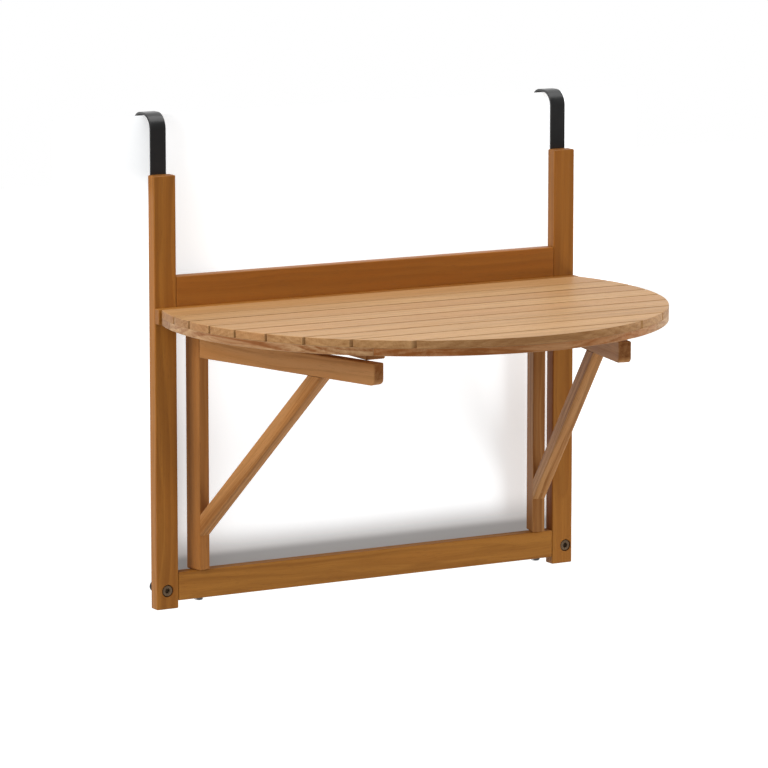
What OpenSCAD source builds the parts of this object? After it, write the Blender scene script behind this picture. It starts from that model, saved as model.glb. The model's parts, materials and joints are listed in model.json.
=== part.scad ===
// Folding balcony table that hangs on a railing.
// Origin: middle of the railing's top edge, where both hooks sit. +X right, +Y to the railing, +Z up.
// The table is drawn unfolded: half-round top down on its two swung-out gates.

/* [Frame] */
// Width over both posts
frame_w = 576.8; // [540:0.2:640]
// Width of each post, seen from the front
post_w = 28.6; // [26:0.2:36]
// Thickness of the posts and the rails
frame_t = 15.5; // [15:0.5:20]
// Height of each post
post_h = 514; // [490:1:560]
// Height of the top rail
top_rail_h = 60; // [54:1:72]
// Drop from the posts' tops to the top rail
top_rail_drop = 119; // [80:1:140]
// Height of the bottom rail
bottom_rail_h = 34; // [30:1:44]
// Height of the bottom rail above the posts' ends
bottom_rail_up = 9; // [6:1:11]
// Rounding of the long edges of the posts, rails and gates
edge_r = 1.5; // [0.5:0.1:2.5]

/* [Hooks] */
// Width of the steel strip
hook_w = 20; // [16:0.5:24]
// Thickness of the steel strip
strip_t = 3; // [2:0.25:5]
// Room between the hook's two legs, for the railing
throat = 40; // [36:1:60]
// Outer radius of the hook's bends
bend_r = 19; // [12:0.5:20]
// Height of the hook above the post
hook_up = 71; // [50:1:90]
// Length of the hook's leg down the post's back
hook_down = 110; // [80:1:130]
// Height of the hook's free leg
hook_back_h = 62; // [40:1:80]
// Depth of the upper and the lower hook screw under the post's top
hook_screw_drops = [22, 88];

/* [Table top] */
// Radius of the round front edge
table_r = 300; // [290:1:320]
// Depth from the posts' front faces to the front edge
table_depth = 403.4; // [390:0.2:425]
// Top rail's height above the table
rail_show = 36; // [28:1:42]
// Thickness of the slats
slat_t = 9; // [8:0.5:12]
// Gap between two slats
slat_gap = 3; // [2:0.25:5]
// Width of the slat at the back
rear_slat_w = 50.8; // [44:0.2:58]
// Thickness of the rim under the slats
rim_t = 9; // [8:0.5:12]
// Width of the rim
rim_w = 40; // [34:1:46]
// Half of the front rim piece's arc, in degrees
rim_seam_angle = 39; // [37:0.5:41]
// Width of each batten under the top
batten_w = 25; // [20:1:30]
// Distance of the left batten from the middle
left_batten_x = 142.5; // [120:0.5:156]
// Distance of the right batten from the middle
right_batten_x = 166.5; // [140:0.5:172]
// Distance from the posts' fronts to the battens' front ends
batten_reach = 262; // [256:1:274]
// Height of the batten below the rim
batten_show = 17.7; // [14:0.1:20]

/* [Hinges] */
// Depth of the ledger that carries the hinges
ledger_t = 10; // [9.5:0.1:14]
// Gap between the ledger and the top
table_gap = 2.7; // [2:0.1:4]
// Distance of each hinge from the middle
hinge_x = 205; // [196:1:212]
// Length of each hinge
hinge_l = 50; // [44:1:56]
// Thickness of the hinge leaves
leaf_t = 1.5; // [1:0.1:1.8]
// Depth of the leaf under the top
leaf_w = 22; // [18:1:26]
// Distance from the pin to the screws in that leaf
leaf_screw_back = 13.2; // [10:0.1:14]
// Outer radius of the hinge knuckles
knuckle_r = 2.5; // [2.2:0.1:2.8]
// Radius of the hinge pins
hinge_pin_r = 1.2; // [1:0.05:1.3]

/* [Gates] */
// Distance of the left gate's pivot from the left post
left_pivot_in = 30.5; // [16:0.1:34]
// Distance of the right gate's pivot from the right post
right_pivot_in = 19.8; // [16:0.1:34]
// Swing of the left gate in from square, in degrees
left_swing_angle = 14.8; // [13:0.1:16]
// Swing of the right gate in from square, in degrees
right_swing_angle = 12.1; // [10:0.1:14]
// Width of the gates' legs
leg_w = 24; // [20:0.5:28]
// Thickness of the gates
gate_t = 15.6; // [14:0.2:17]
// Height of the arms
arm_h = 25.6; // [24:0.1:34]
// Reach of the arms from the pivot
arm_reach = 303.5; // [295:0.5:312]
// Rounding of the arm's lower front corner
arm_nose_r = 7; // [3:0.5:10]
// Width of the braces
brace_w = 18; // [14:0.5:22]
// Slope of the braces, in degrees
brace_angle = 45.7; // [40:0.1:48]
// Distance from the pivot to the middle of the brace's upper end
brace_reach = 206.7; // [180:0.1:225]
// Radius of the pivots at the top and bottom of each leg
pivot_r = 3; // [2.5:0.1:3.5]
// Wood left between a pivot and the arm's dowels
pivot_wall = 2; // [1:0.5:3]
// Depth of the upper pivot in the leg
pivot_in_leg = 11; // [8:0.5:12]
// Depth of the upper pivot in the top rail
pivot_in_rail = 16; // [10:1:24]
// Depth of the lower pivot bolt in the leg
bolt_in_leg = 24; // [16:1:32]
// Radius of the lower pivot bolt's head
bolt_head_r = 5.5; // [4.5:0.1:6.5]
// Height of the lower pivot bolt's head
bolt_head_h = 3; // [2:0.1:4]

/* [Feet] */
// Height of the foot bolts above the posts' ends
foot_up = 22; // [18:0.5:24]
// Shift of the right foot bolt out from its post's middle
right_foot_shift = 5; // [0:0.1:5]
// Radius of the foot bolts' threads
foot_r = 4; // [3:0.1:4.2]
// Radius of the foot bolts' heads
foot_head_r = 6.5; // [6:0.1:6.6]
// Height of the foot bolts' heads
foot_head_h = 8; // [7:0.1:8.4]
// Length of the foot bolts' threads
foot_bolt_l = 25; // [22:1:35]
// Width across the flats of the hex socket
hex_af = 6; // [4:0.5:6.5]
// Depth of the hex socket
hex_deep = 4; // [2:0.5:5]
// Depth of the foot bolt's head under the post's front
foot_recess = 0.8; // [0.3:0.1:1]
// Radius of the rubber caps
cap_r = 6.5; // [5.5:0.1:8]
// Length of the rubber caps
cap_l = 8; // [6:0.5:10]
// Thickness of the caps' ends
cap_end = 2; // [1.5:0.1:3]
// Rounding of the caps' ends
cap_round = 1.5; // [0.5:0.1:2]
// Radius of the threaded inserts
insert_r = 6; // [5.2:0.1:6.4]

/* [Fasteners] */
// Radius of the frame's dowels
dowel_r = 4; // [3:0.25:4.25]
// Depth of the frame's dowels in the posts
dowel_in_post = 14; // [10:0.5:16]
// Depth of the frame's dowels in the rails
dowel_in_rail = 12; // [8:1:14]
// Distance between the two dowels at each end of the top rail
dowel_pitch = 34; // [24:1:38]
// Depth of the bottom rail's dowels under its top
low_dowel_drop = 7.5; // [6:0.5:8]
// Radius of the gates' dowels
gate_dowel_r = 3; // [2:0.1:3.2]
// Depth of the gates' dowels on each side of a joint
gate_dowel_in = 10; // [6:0.5:11]
// Radius of the large wood screws
screw_r = 2; // [1.6:0.1:2.2]
// Radius of the large wood screws' heads
screw_head_r = 4; // [3.4:0.1:4.4]
// Radius of the small wood screws
small_screw_r = 1.5; // [1.2:0.1:1.6]
// Radius of the small wood screws' heads
small_head_r = 2.8; // [2.2:0.1:3]
// Depth of the hook screws in the posts
hook_screw_in = 12; // [8:0.5:14]
// Depth of the ledger screws in the ledger
ledger_screw_in = 7; // [5:0.5:8]
// Distances of the ledger screws from the middle
ledger_screw_xs = [60, 165];
// Depth of the rim, batten and hinge screws in the slats
slat_screw_in = 5; // [4:0.5:6]
// Depth of the hinge screws in the ledger
hinge_screw_in = 11; // [8:0.5:14]
// Distance of the front slat's screws from the middle
front_screw_x = 60; // [30:1:90]
// Distances of the rear slat's screws from the middle
rear_screw_xs = [80, 165, 250];

/* [Clearances] */
// Radial play of a pivot that turns
pivot_play = 0.08; // [0.04:0.01:0.1]
// Radial play of a dowel, insert or screw in its hole
glue_play = 0.05; // [0.02:0.01:0.1]
// Gap above and below each gate's leg
gate_play = 0.3; // [0.2:0.05:0.6]
// Gap between the arms and the battens
arm_play = 0.3; // [0.2:0.05:0.6]
// Gap between two hinge knuckles
knuckle_play = 0.35; // [0.2:0.05:0.5]
// Radial room round the foot bolt's head
head_room = 0.8; // [0.4:0.1:0.9]
// Gap behind the foot bolt's head
head_play = 0.2; // [0.2:0.1:0.5]

/* [Hidden] */
$fn = 48;
// Overshoot of the cutters
cut = 1;
LEFT = -1;
RIGHT = 1;

// Heights, from the railing's top edge
post_top = strip_t - hook_up;
post_foot = post_top - post_h;
rail_top = post_top - top_rail_drop;
rail_under = rail_top - top_rail_h;
table_top = rail_top - rail_show;
slat_under = table_top - slat_t;
rim_under = slat_under - rim_t;
batten_under = rim_under - batten_show;
arm_top = batten_under - arm_play;
arm_under = arm_top - arm_h;
low_rail_under = post_foot + bottom_rail_up;
low_rail_top = low_rail_under + bottom_rail_h;
leg_top = rail_under - gate_play;
leg_foot = low_rail_top + gate_play;
foot_z = post_foot + foot_up;
ledger_mid = (table_top + rim_under) / 2;

// Depths, from the middle of the railing
post_back = -throat / 2 - strip_t;
post_front = post_back - frame_t;
frame_mid = (post_front + post_back) / 2;
ledger_front = post_front - ledger_t;
table_back = ledger_front - table_gap;
hinge_y = (ledger_front + table_back) / 2;
hinge_z = rim_under - knuckle_r;
table_front = post_front - table_depth;
table_cy = table_front + table_r;
batten_front = post_front - batten_reach;

// Sideways places
post_in = frame_w / 2 - post_w;
post_mid = frame_w / 2 - post_w / 2;

// Slats, counted from the back
slat_count = 9;
slat_pitch = (table_back - rear_slat_w - table_front) / (slat_count - 1);
function slat_back(i) = i == 1 ? table_back : table_back - rear_slat_w - (i - 2) * slat_pitch - slat_gap;
function slat_front(i) = table_back - rear_slat_w - (i - 1) * slat_pitch;
function slat_mid(i) = (slat_back(i) + slat_front(i)) / 2;

// Rim
rim_in_r = table_r - rim_w;
rim_mid_r = table_r - rim_w / 2;
rear_rail_front = table_back - rim_w;
rear_rail_mid = (table_back + rear_rail_front) / 2;
// Past the place where the rear rail ends the side pieces
rim_end_angle = 110;
function rim_x(y) = sqrt(pow(rim_mid_r, 2) - pow(y - table_cy, 2));
batten_back = rear_rail_front;
// Slats that are screwed to the battens
batten_slats = [2, 4, 6];

// Gates
arm_mid = (arm_top + arm_under) / 2;
brace_foot_z = arm_under - (brace_reach - leg_w / 2) * tan(brace_angle);
gate_dowel_pitch = arm_h / 2;

// Bar with its four long edges rounded, between two corners, along "x", "y" or "z"
module bar(lo, hi, along, r = edge_r) {
    size = hi - lo;
    translate((lo + hi) / 2)
        if (along == "x")
            rotate([0, 90, 0])
                linear_extrude(size.x, center = true)
                    rounded_rect(size.z, size.y, r);
        else if (along == "y")
            rotate([90, 0, 0])
                linear_extrude(size.y, center = true)
                    rounded_rect(size.x, size.z, r);
        else
            linear_extrude(size.z, center = true)
                rounded_rect(size.x, size.y, r);
}

module rounded_rect(w, h, r) {
    square([w - 2 * r, h], center = true);
    square([w, h - 2 * r], center = true);
    for (x = [-1, 1], y = [-1, 1])
        translate([x * (w / 2 - r), y * (h / 2 - r)])
            circle(r, $fn = 24);
}

// Countersunk wood screw, its head's face at z = 0 and its point up. play makes the hole for it.
module wood_screw(r, head_r, length, play = 0) {
    head_h = head_r - r;
    point_h = 2 * r;
    translate([0, 0, play > 0 ? -cut : 0])
        cylinder(r = head_r + play, h = play > 0 ? cut : 0.01);
    cylinder(r1 = head_r + play, r2 = r + play, h = head_h);
    cylinder(r = r + play, h = length - point_h + play);
    translate([0, 0, length - point_h + play])
        cylinder(r1 = r + play, r2 = 0, h = point_h);
}

module large_screw(length, play = 0) {
    wood_screw(screw_r, screw_head_r, length, play);
}

module small_screw(length, play = 0) {
    wood_screw(small_screw_r, small_head_r, length, play);
}

// Places of the fasteners. Each turns its children's +Z into the wood.
module at_hook_screws(side) {
    for (drop = hook_screw_drops)
        translate([side * post_mid, post_back + strip_t, post_top - drop])
            rotate([90, 0, 0])
                children();
}

module at_ledger_screws() {
    for (side = [LEFT, RIGHT], x = ledger_screw_xs)
        translate([side * x, post_back, ledger_mid])
            rotate([90, 0, 0])
                children();
}

module at_rail_dowels() {
    for (side = [LEFT, RIGHT]) {
        for (z = [-1, 1])
            translate([side * post_in, frame_mid, (rail_top + rail_under + z * dowel_pitch) / 2])
                rotate([0, side * 90, 0])
                    children();
        translate([side * post_in, frame_mid, low_rail_top - low_dowel_drop])
            rotate([0, side * 90, 0])
                children();
    }
}

module at_foot(side) {
    shift = side == RIGHT ? right_foot_shift : 0;
    translate([side * post_mid + shift, post_front, foot_z])
        rotate([-90, 0, 0])
            children();
}

module at_pivot(side) {
    x = side == LEFT ? left_pivot_in - post_in : post_in - right_pivot_in;
    turn = side == LEFT ? left_swing_angle - 90 : -90 - right_swing_angle;
    translate([x, frame_mid, 0])
        rotate([0, 0, turn])
            children();
}

// Screws that go up through the rim into slat i
module at_slat_screws(i) {
    y = i == 1 ? rear_rail_mid
        : i == slat_count ? table_cy - sqrt(pow(rim_mid_r, 2) - pow(front_screw_x, 2))
        : slat_mid(i);
    xs = i == 1 ? rear_screw_xs : i == slat_count ? [front_screw_x] : [rim_x(y)];
    for (side = [LEFT, RIGHT], x = xs)
        translate([side * x, y, rim_under])
            children();
}

module at_batten_screws(side, slats = batten_slats) {
    for (i = slats)
        translate([side == LEFT ? -left_batten_x : right_batten_x, slat_mid(i), batten_under])
            children();
}

module at_hinges() {
    for (side = [LEFT, RIGHT])
        translate([side * hinge_x, hinge_y, rim_under])
            children();
}

// Screw places along one hinge, on one side of its pin
module at_hinge_screws(y) {
    for (x = [-1, 0, 1])
        translate([x * (hinge_l / 2 - 2 * small_head_r), y, -leaf_t])
            children();
}

// Frame

module post(side) {
    x_in = side * post_in;
    x_out = side * frame_w / 2;
    color("#8d5527")
        difference() {
            bar([min(x_in, x_out), post_front, post_foot], [max(x_in, x_out), post_back, post_top], "z");
            at_rail_dowels()
                rail_dowel(glue_play);
            at_hook_screws(side)
                large_screw(strip_t + hook_screw_in, glue_play);
            at_foot(side)
                foot_hole();
        }
}

// Counterbore for the head of the foot bolt, and the through bore for its insert
module foot_hole() {
    translate([0, 0, -cut])
        cylinder(r = foot_head_r + head_room, h = cut + head_seat());
    cylinder(r = insert_r + glue_play, h = frame_t + cut);
}

function head_seat() = foot_recess + foot_head_h + head_play;

module rail_dowel(play = 0) {
    translate([0, 0, -dowel_in_rail - play])
        cylinder(r = dowel_r + play, h = dowel_in_rail + dowel_in_post + 2 * play);
}

module rail_dowels() {
    color("#c9a06c")
        at_rail_dowels()
            rail_dowel();
}

module top_rail() {
    color("#8a4f1f")
        difference() {
            bar([-post_in, post_front, rail_under], [post_in, post_back, rail_top], "x");
            at_rail_dowels()
                rail_dowel(glue_play);
            at_ledger_screws()
                large_screw(frame_t + ledger_screw_in, glue_play);
            for (side = [LEFT, RIGHT])
                at_pivot(side)
                    upper_pivot_shape(pivot_play);
        }
}

module bottom_rail() {
    color("#94602f")
        difference() {
            bar([-post_in, post_front, low_rail_under], [post_in, post_back, low_rail_top], "x");
            at_rail_dowels()
                rail_dowel(glue_play);
            for (side = [LEFT, RIGHT])
                at_pivot(side)
                    translate([0, 0, low_rail_under - cut])
                        cylinder(r = pivot_r + pivot_play, h = bottom_rail_h + 2 * cut);
        }
}

module hinge_ledger() {
    color("#b98850")
        difference() {
            bar([-frame_w / 2, ledger_front, rim_under], [frame_w / 2, post_front, table_top], "x", edge_r / 2);
            at_ledger_screws()
                large_screw(frame_t + ledger_screw_in, glue_play);
            at_hinges()
                at_hinge_screws(ledger_t / 2 + table_gap / 2)
                    small_screw(leaf_t + hinge_screw_in, glue_play);
        }
}

module ledger_screws() {
    color("#8f8f92")
        at_ledger_screws()
            large_screw(frame_t + ledger_screw_in);
}

// Hooks

module hook(side) {
    color("#2f3133")
        difference() {
            translate([side * post_mid, 0, 0])
                rotate([90, 0, 90])
                    linear_extrude(hook_w, center = true)
                        hook_side();
            at_hook_screws(side)
                large_screw(strip_t + hook_screw_in, glue_play);
        }
}

// The bent strip seen from its side, drawn as (depth, height)
module hook_side() {
    in_r = bend_r - strip_t;
    bend_y = throat / 2 - in_r;
    translate([-throat / 2 - strip_t, post_top - hook_down])
        square([strip_t, hook_down - post_top - in_r]);
    translate([-bend_y, 0])
        square([2 * bend_y, strip_t]);
    translate([throat / 2, strip_t - hook_back_h])
        square([strip_t, hook_back_h - strip_t - in_r]);
    for (side = [LEFT, RIGHT])
        translate([side * bend_y, -in_r])
            intersection() {
                difference() {
                    circle(bend_r, $fn = 72);
                    circle(in_r, $fn = 72);
                }
                translate([side == LEFT ? -bend_r : 0, 0])
                    square(bend_r);
            }
}

module hook_screws() {
    color("#8f8f92")
        for (side = [LEFT, RIGHT])
            at_hook_screws(side)
                large_screw(strip_t + hook_screw_in);
}

// Feet: a bolt in a threaded insert, with a rubber cap that rests on the railing

module foot_inserts() {
    color("#b08d4f")
        for (side = [LEFT, RIGHT])
            at_foot(side)
                translate([0, 0, head_seat()])
                    difference() {
                        cylinder(r = insert_r, h = frame_t - head_seat());
                        translate([0, 0, -cut])
                            cylinder(r = foot_r + pivot_play, h = frame_t + 2 * cut);
                    }
}

module foot_bolt(side) {
    color("#3a3a3c")
        at_foot(side)
            translate([0, 0, foot_recess])
                difference() {
                    union() {
                        cylinder(r = foot_head_r, h = foot_head_h);
                        cylinder(r = foot_r, h = foot_head_h + foot_bolt_l);
                    }
                    translate([0, 0, -cut])
                        cylinder(r = hex_af / sqrt(3), h = cut + hex_deep, $fn = 6);
                }
}

module foot_cap(side) {
    end_z = foot_recess + foot_head_h + foot_bolt_l;
    color("#1f1f20")
        at_foot(side)
            translate([0, 0, end_z + cap_end - cap_l])
                difference() {
                    rotate_extrude()
                        union() {
                            square([cap_r, cap_l - cap_round]);
                            square([cap_r - cap_round, cap_l]);
                            translate([cap_r - cap_round, cap_l - cap_round])
                                intersection() {
                                    circle(cap_round, $fn = 32);
                                    square(cap_round);
                                }
                        }
                    translate([0, 0, -cut])
                        cylinder(r = foot_r + glue_play, h = cut + cap_l - cap_end + glue_play);
                }
}

// Hinges: the pin stays in the back leaf's two knuckles

knuckle_l = hinge_l / 3;

module hinge_knuckle(x_from, x_to) {
    translate([x_from, 0, -knuckle_r])
        rotate([0, 90, 0])
            cylinder(r = knuckle_r, h = x_to - x_from, $fn = 36);
}

module hinge_bore() {
    translate([-hinge_l / 2 - cut, 0, -knuckle_r])
        rotate([0, 90, 0])
            cylinder(r = hinge_pin_r + pivot_play, h = hinge_l + 2 * cut, $fn = 36);
}

// Leaf plate from the pin's line to depth w on one side, without the space of the other leaf's knuckles
module leaf_plate(side, w, gaps) {
    difference() {
        translate([-hinge_l / 2, side > 0 ? 0 : -w, -leaf_t])
            cube([hinge_l, w, leaf_t]);
        for (gap = gaps)
            translate([gap[0], -knuckle_r - knuckle_play, -leaf_t - cut])
                cube([gap[1] - gap[0], 2 * (knuckle_r + knuckle_play), leaf_t + 2 * cut]);
    }
}

module back_leaf() {
    half = hinge_l / 2;
    mid = knuckle_l / 2;
    y = ledger_t / 2 + table_gap / 2;
    difference() {
        union() {
            leaf_plate(1, ledger_t + table_gap / 2 - knuckle_play, [[-mid, mid]]);
            hinge_knuckle(-half, -mid);
            hinge_knuckle(mid, half);
        }
        hinge_bore();
        at_hinge_screws(y)
            small_screw(leaf_t + hinge_screw_in, glue_play);
    }
}

module front_leaf() {
    half = hinge_l / 2;
    mid = knuckle_l / 2;
    difference() {
        union() {
            leaf_plate(-1, leaf_w, [[-half - cut, -mid + knuckle_play], [mid - knuckle_play, half + cut]]);
            hinge_knuckle(-mid + knuckle_play, mid - knuckle_play);
        }
        hinge_bore();
        at_hinge_screws(-leaf_screw_back)
            small_screw(front_leaf_screw_l(), glue_play);
    }
}

function front_leaf_screw_l() = leaf_t + rim_t + slat_screw_in;

module hinge_back_leaves() {
    color("#a9a49a")
        at_hinges()
            back_leaf();
}

module hinge_front_leaves() {
    color("#a9a49a")
        at_hinges()
            front_leaf();
}

module hinge_pins() {
    color("#8f8f92")
        at_hinges()
            translate([-hinge_l / 2, 0, -knuckle_r])
                rotate([0, 90, 0])
                    cylinder(r = hinge_pin_r, h = hinge_l, $fn = 36);
}

module hinge_back_screws() {
    color("#8f8f92")
        at_hinges()
            at_hinge_screws(ledger_t / 2 + table_gap / 2)
                small_screw(leaf_t + hinge_screw_in);
}

module hinge_front_screws() {
    color("#8f8f92")
        at_hinges()
            at_hinge_screws(-leaf_screw_back)
                small_screw(front_leaf_screw_l());
}

// Table top

module table_disc(r) {
    translate([0, table_cy])
        circle(r, $fn = 180);
}

// Strip right across the table, from depth y_back forward to y_front
module across(y_back, y_front) {
    translate([-table_r - cut, y_front])
        square([2 * (table_r + cut), y_back - y_front]);
}

module top_screw_holes(i) {
    at_slat_screws(i)
        small_screw(rim_t + slat_screw_in, glue_play);
    if (i == 1)
        at_hinges()
            at_hinge_screws(-leaf_screw_back)
                small_screw(front_leaf_screw_l(), glue_play);
    if (len(search(i, batten_slats)) > 0)
        for (side = [LEFT, RIGHT])
            at_batten_screws(side, [i])
                large_screw(batten_screw_l(), glue_play);
}

function batten_screw_l() = batten_show + rim_t + slat_screw_in;

module slat(i) {
    color(i % 2 == 0 ? "#c99a63" : "#cfa26d")
        difference() {
            translate([0, 0, slat_under])
                linear_extrude(slat_t)
                    intersection() {
                        table_disc(table_r);
                        across(slat_back(i), slat_front(i));
                    }
            top_screw_holes(i);
        }
}

// Rim piece between two angles, counted from the front to the right
module rim(from_a, to_a) {
    far = 2 * table_r;
    mid_a = (from_a + to_a) / 2;
    color("#b88650")
        difference() {
            translate([0, 0, rim_under])
                linear_extrude(rim_t)
                    intersection() {
                        difference() {
                            table_disc(table_r);
                            table_disc(rim_in_r);
                        }
                        across(rear_rail_front, table_front - cut);
                        translate([0, table_cy])
                            polygon([
                                [0, 0],
                                far * [sin(from_a), -cos(from_a)],
                                far * [sin(mid_a), -cos(mid_a)],
                                far * [sin(to_a), -cos(to_a)]
                            ]);
                    }
            for (i = [2 : slat_count])
                at_slat_screws(i)
                    small_screw(rim_t + slat_screw_in, glue_play);
        }
}

module rim_rear_rail() {
    color("#b88650")
        difference() {
            translate([0, 0, rim_under])
                linear_extrude(rim_t)
                    intersection() {
                        table_disc(table_r);
                        across(table_back, rear_rail_front);
                    }
            top_screw_holes(1);
        }
}

module batten(side) {
    x = side == LEFT ? -left_batten_x : right_batten_x;
    lo = [x - batten_w / 2, batten_front, batten_under];
    hi = [x + batten_w / 2, batten_back, slat_under];
    color("#a87340")
        difference() {
            bar(lo, hi, "y");
            at_batten_screws(side)
                large_screw(batten_screw_l(), glue_play);
        }
}

module slat_screws() {
    color("#8f8f92")
        for (i = [1 : slat_count])
            at_slat_screws(i)
                small_screw(rim_t + slat_screw_in);
}

module batten_screws() {
    color("#8f8f92")
        for (side = [LEFT, RIGHT])
            at_batten_screws(side)
                large_screw(batten_screw_l());
}

// Gates, drawn with the pivot on the Z axis and the arm along +X

module upper_pivot_shape(play = 0) {
    translate([0, 0, leg_top - pivot_in_leg - play])
        cylinder(r = pivot_r + play, h = pivot_in_leg + gate_play + pivot_in_rail + 2 * play);
}

module lower_bolt_shape(play = 0) {
    length = bolt_head_h + gate_play + bottom_rail_h + gate_play + bolt_in_leg;
    translate([0, 0, low_rail_under - gate_play - bolt_head_h])
        cylinder(r = pivot_r + play, h = length + play);
}

module at_arm_dowels() {
    for (z = [-1, 1])
        translate([leg_w / 2, 0, arm_mid + z * gate_dowel_pitch / 2])
            rotate([0, 90, 0])
                children();
}

// One dowel at each end of the brace, square to the piece that it meets
module at_brace_dowels() {
    translate([leg_w / 2, 0, brace_foot_z])
        rotate([0, 90, 0])
            children();
    translate([brace_reach, 0, arm_under])
        children();
}

module gate_dowel(play = 0) {
    translate([0, 0, -gate_dowel_in - play])
        cylinder(r = gate_dowel_r + play, h = 2 * (gate_dowel_in + play), $fn = 36);
}

module gate_leg(side) {
    color("#8b5326")
        at_pivot(side)
            difference() {
                bar([-leg_w / 2, -gate_t / 2, leg_foot], [leg_w / 2, gate_t / 2, leg_top], "z");
                upper_pivot_shape(glue_play);
                lower_bolt_shape(glue_play);
                at_arm_dowels()
                    arm_dowel(glue_play);
                at_brace_dowels()
                    gate_dowel(glue_play);
            }
}

// The arm's dowels stop short of the pivot in the leg
module arm_dowel(play = 0) {
    in_leg = leg_w / 2 - pivot_r - pivot_wall;
    translate([0, 0, -in_leg - play])
        cylinder(r = gate_dowel_r + play, h = in_leg + 2 * gate_dowel_in + 2 * play, $fn = 36);
}

module gate_arm(side) {
    color("#9a6232")
        at_pivot(side)
            difference() {
                intersection() {
                    bar([leg_w / 2, -gate_t / 2, arm_under], [arm_reach, gate_t / 2, arm_top], "x");
                    rotate([90, 0, 0])
                        linear_extrude(2 * gate_t, center = true)
                            arm_side();
                }
                at_arm_dowels()
                    arm_dowel(glue_play);
                at_brace_dowels()
                    gate_dowel(glue_play);
            }
}

// The arm seen from its side, with its lower front corner rounded
module arm_side() {
    difference() {
        translate([0, arm_under - cut])
            square([arm_reach + cut, arm_h + 2 * cut]);
        translate([arm_reach - arm_nose_r, arm_under - cut])
            square([arm_nose_r + 2 * cut, arm_nose_r + cut]);
    }
    translate([arm_reach - arm_nose_r, arm_under + arm_nose_r])
        circle(arm_nose_r);
}

module gate_brace(side) {
    run = brace_reach - leg_w / 2;
    over = 2 * brace_w;
    length = run / cos(brace_angle) + 2 * over;
    color("#a06a38")
        at_pivot(side)
            difference() {
                intersection() {
                    translate([leg_w / 2, 0, brace_foot_z])
                        rotate([0, -brace_angle, 0])
                            bar([-over, -gate_t / 2, -brace_w / 2], [length - over, gate_t / 2, brace_w / 2], "x");
                    translate([leg_w / 2, -gate_t, arm_under - 2 * run])
                        cube([2 * run, 2 * gate_t, 2 * run]);
                }
                at_brace_dowels()
                    gate_dowel(glue_play);
            }
}

module gate_dowels(side) {
    color("#c9a06c")
        at_pivot(side) {
            at_arm_dowels()
                arm_dowel();
            at_brace_dowels()
                gate_dowel();
        }
}

module upper_pivot(side) {
    color("#8f8f92")
        at_pivot(side)
            upper_pivot_shape();
}

module lower_pivot_bolt(side) {
    color("#8f8f92")
        at_pivot(side) {
            lower_bolt_shape();
            translate([0, 0, low_rail_under - gate_play - bolt_head_h])
                cylinder(r = bolt_head_r, h = bolt_head_h);
        }
}

post(LEFT);  // left_post
post(RIGHT);  // right_post
top_rail();
bottom_rail();
hinge_ledger();
hook(LEFT);  // left_hook
hook(RIGHT);  // right_hook
hook_screws();
ledger_screws();
rail_dowels();
foot_inserts();
hinge_back_leaves();
hinge_pins();
hinge_back_screws();
slat(1);  // slat_1
slat(2);  // slat_2
slat(3);  // slat_3
slat(4);  // slat_4
slat(5);  // slat_5
slat(6);  // slat_6
slat(7);  // slat_7
slat(8);  // slat_8
slat(9);  // slat_9
rim(-rim_end_angle, -rim_seam_angle);  // rim_left
rim(-rim_seam_angle, rim_seam_angle);  // rim_front
rim(rim_seam_angle, rim_end_angle);  // rim_right
rim_rear_rail();
batten(LEFT);  // left_batten
batten(RIGHT);  // right_batten
slat_screws();
batten_screws();
hinge_front_leaves();
hinge_front_screws();
gate_leg(LEFT);  // left_gate_leg
gate_arm(LEFT);  // left_gate_arm
gate_brace(LEFT);  // left_gate_brace
gate_dowels(LEFT);  // left_gate_dowels
upper_pivot(LEFT);  // left_upper_pivot
lower_pivot_bolt(LEFT);  // left_lower_pivot_bolt
gate_leg(RIGHT);  // right_gate_leg
gate_arm(RIGHT);  // right_gate_arm
gate_brace(RIGHT);  // right_gate_brace
gate_dowels(RIGHT);  // right_gate_dowels
upper_pivot(RIGHT);  // right_upper_pivot
lower_pivot_bolt(RIGHT);  // right_lower_pivot_bolt
foot_bolt(LEFT);  // left_foot_bolt
foot_cap(LEFT);  // left_foot_cap
foot_bolt(RIGHT);  // right_foot_bolt
foot_cap(RIGHT);  // right_foot_cap
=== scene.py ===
# %% [markdown]
# # A folding balcony table, dressed for its picture
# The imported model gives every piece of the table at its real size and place. This lesson makes the
# visible wood and steel again with their eased edges, bores and screw heads, gives each board its own
# grain, and sets up a plain white studio. Sizes are in metres, +X is right, +Y is towards the railing.

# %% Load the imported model
import json
import math
import random

import bpy
import numpy as np
from mathutils import Matrix, Vector


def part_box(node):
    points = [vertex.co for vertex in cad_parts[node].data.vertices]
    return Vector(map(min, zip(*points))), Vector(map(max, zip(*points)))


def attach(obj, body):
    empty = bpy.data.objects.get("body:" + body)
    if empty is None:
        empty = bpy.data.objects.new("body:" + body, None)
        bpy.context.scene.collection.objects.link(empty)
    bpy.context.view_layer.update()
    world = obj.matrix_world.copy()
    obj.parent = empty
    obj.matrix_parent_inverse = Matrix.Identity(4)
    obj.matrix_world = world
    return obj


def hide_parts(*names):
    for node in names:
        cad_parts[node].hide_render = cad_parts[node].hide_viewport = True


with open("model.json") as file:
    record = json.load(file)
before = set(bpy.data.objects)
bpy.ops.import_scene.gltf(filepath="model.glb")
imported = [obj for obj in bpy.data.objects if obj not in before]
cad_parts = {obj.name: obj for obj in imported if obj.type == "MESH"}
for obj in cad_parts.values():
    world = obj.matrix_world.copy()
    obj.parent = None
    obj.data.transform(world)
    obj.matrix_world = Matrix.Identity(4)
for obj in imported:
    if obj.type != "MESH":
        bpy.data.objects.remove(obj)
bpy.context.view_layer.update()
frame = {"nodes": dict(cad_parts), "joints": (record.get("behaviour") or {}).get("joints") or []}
MM = 0.001
print("packed pieces:", len(frame["nodes"]))

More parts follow.
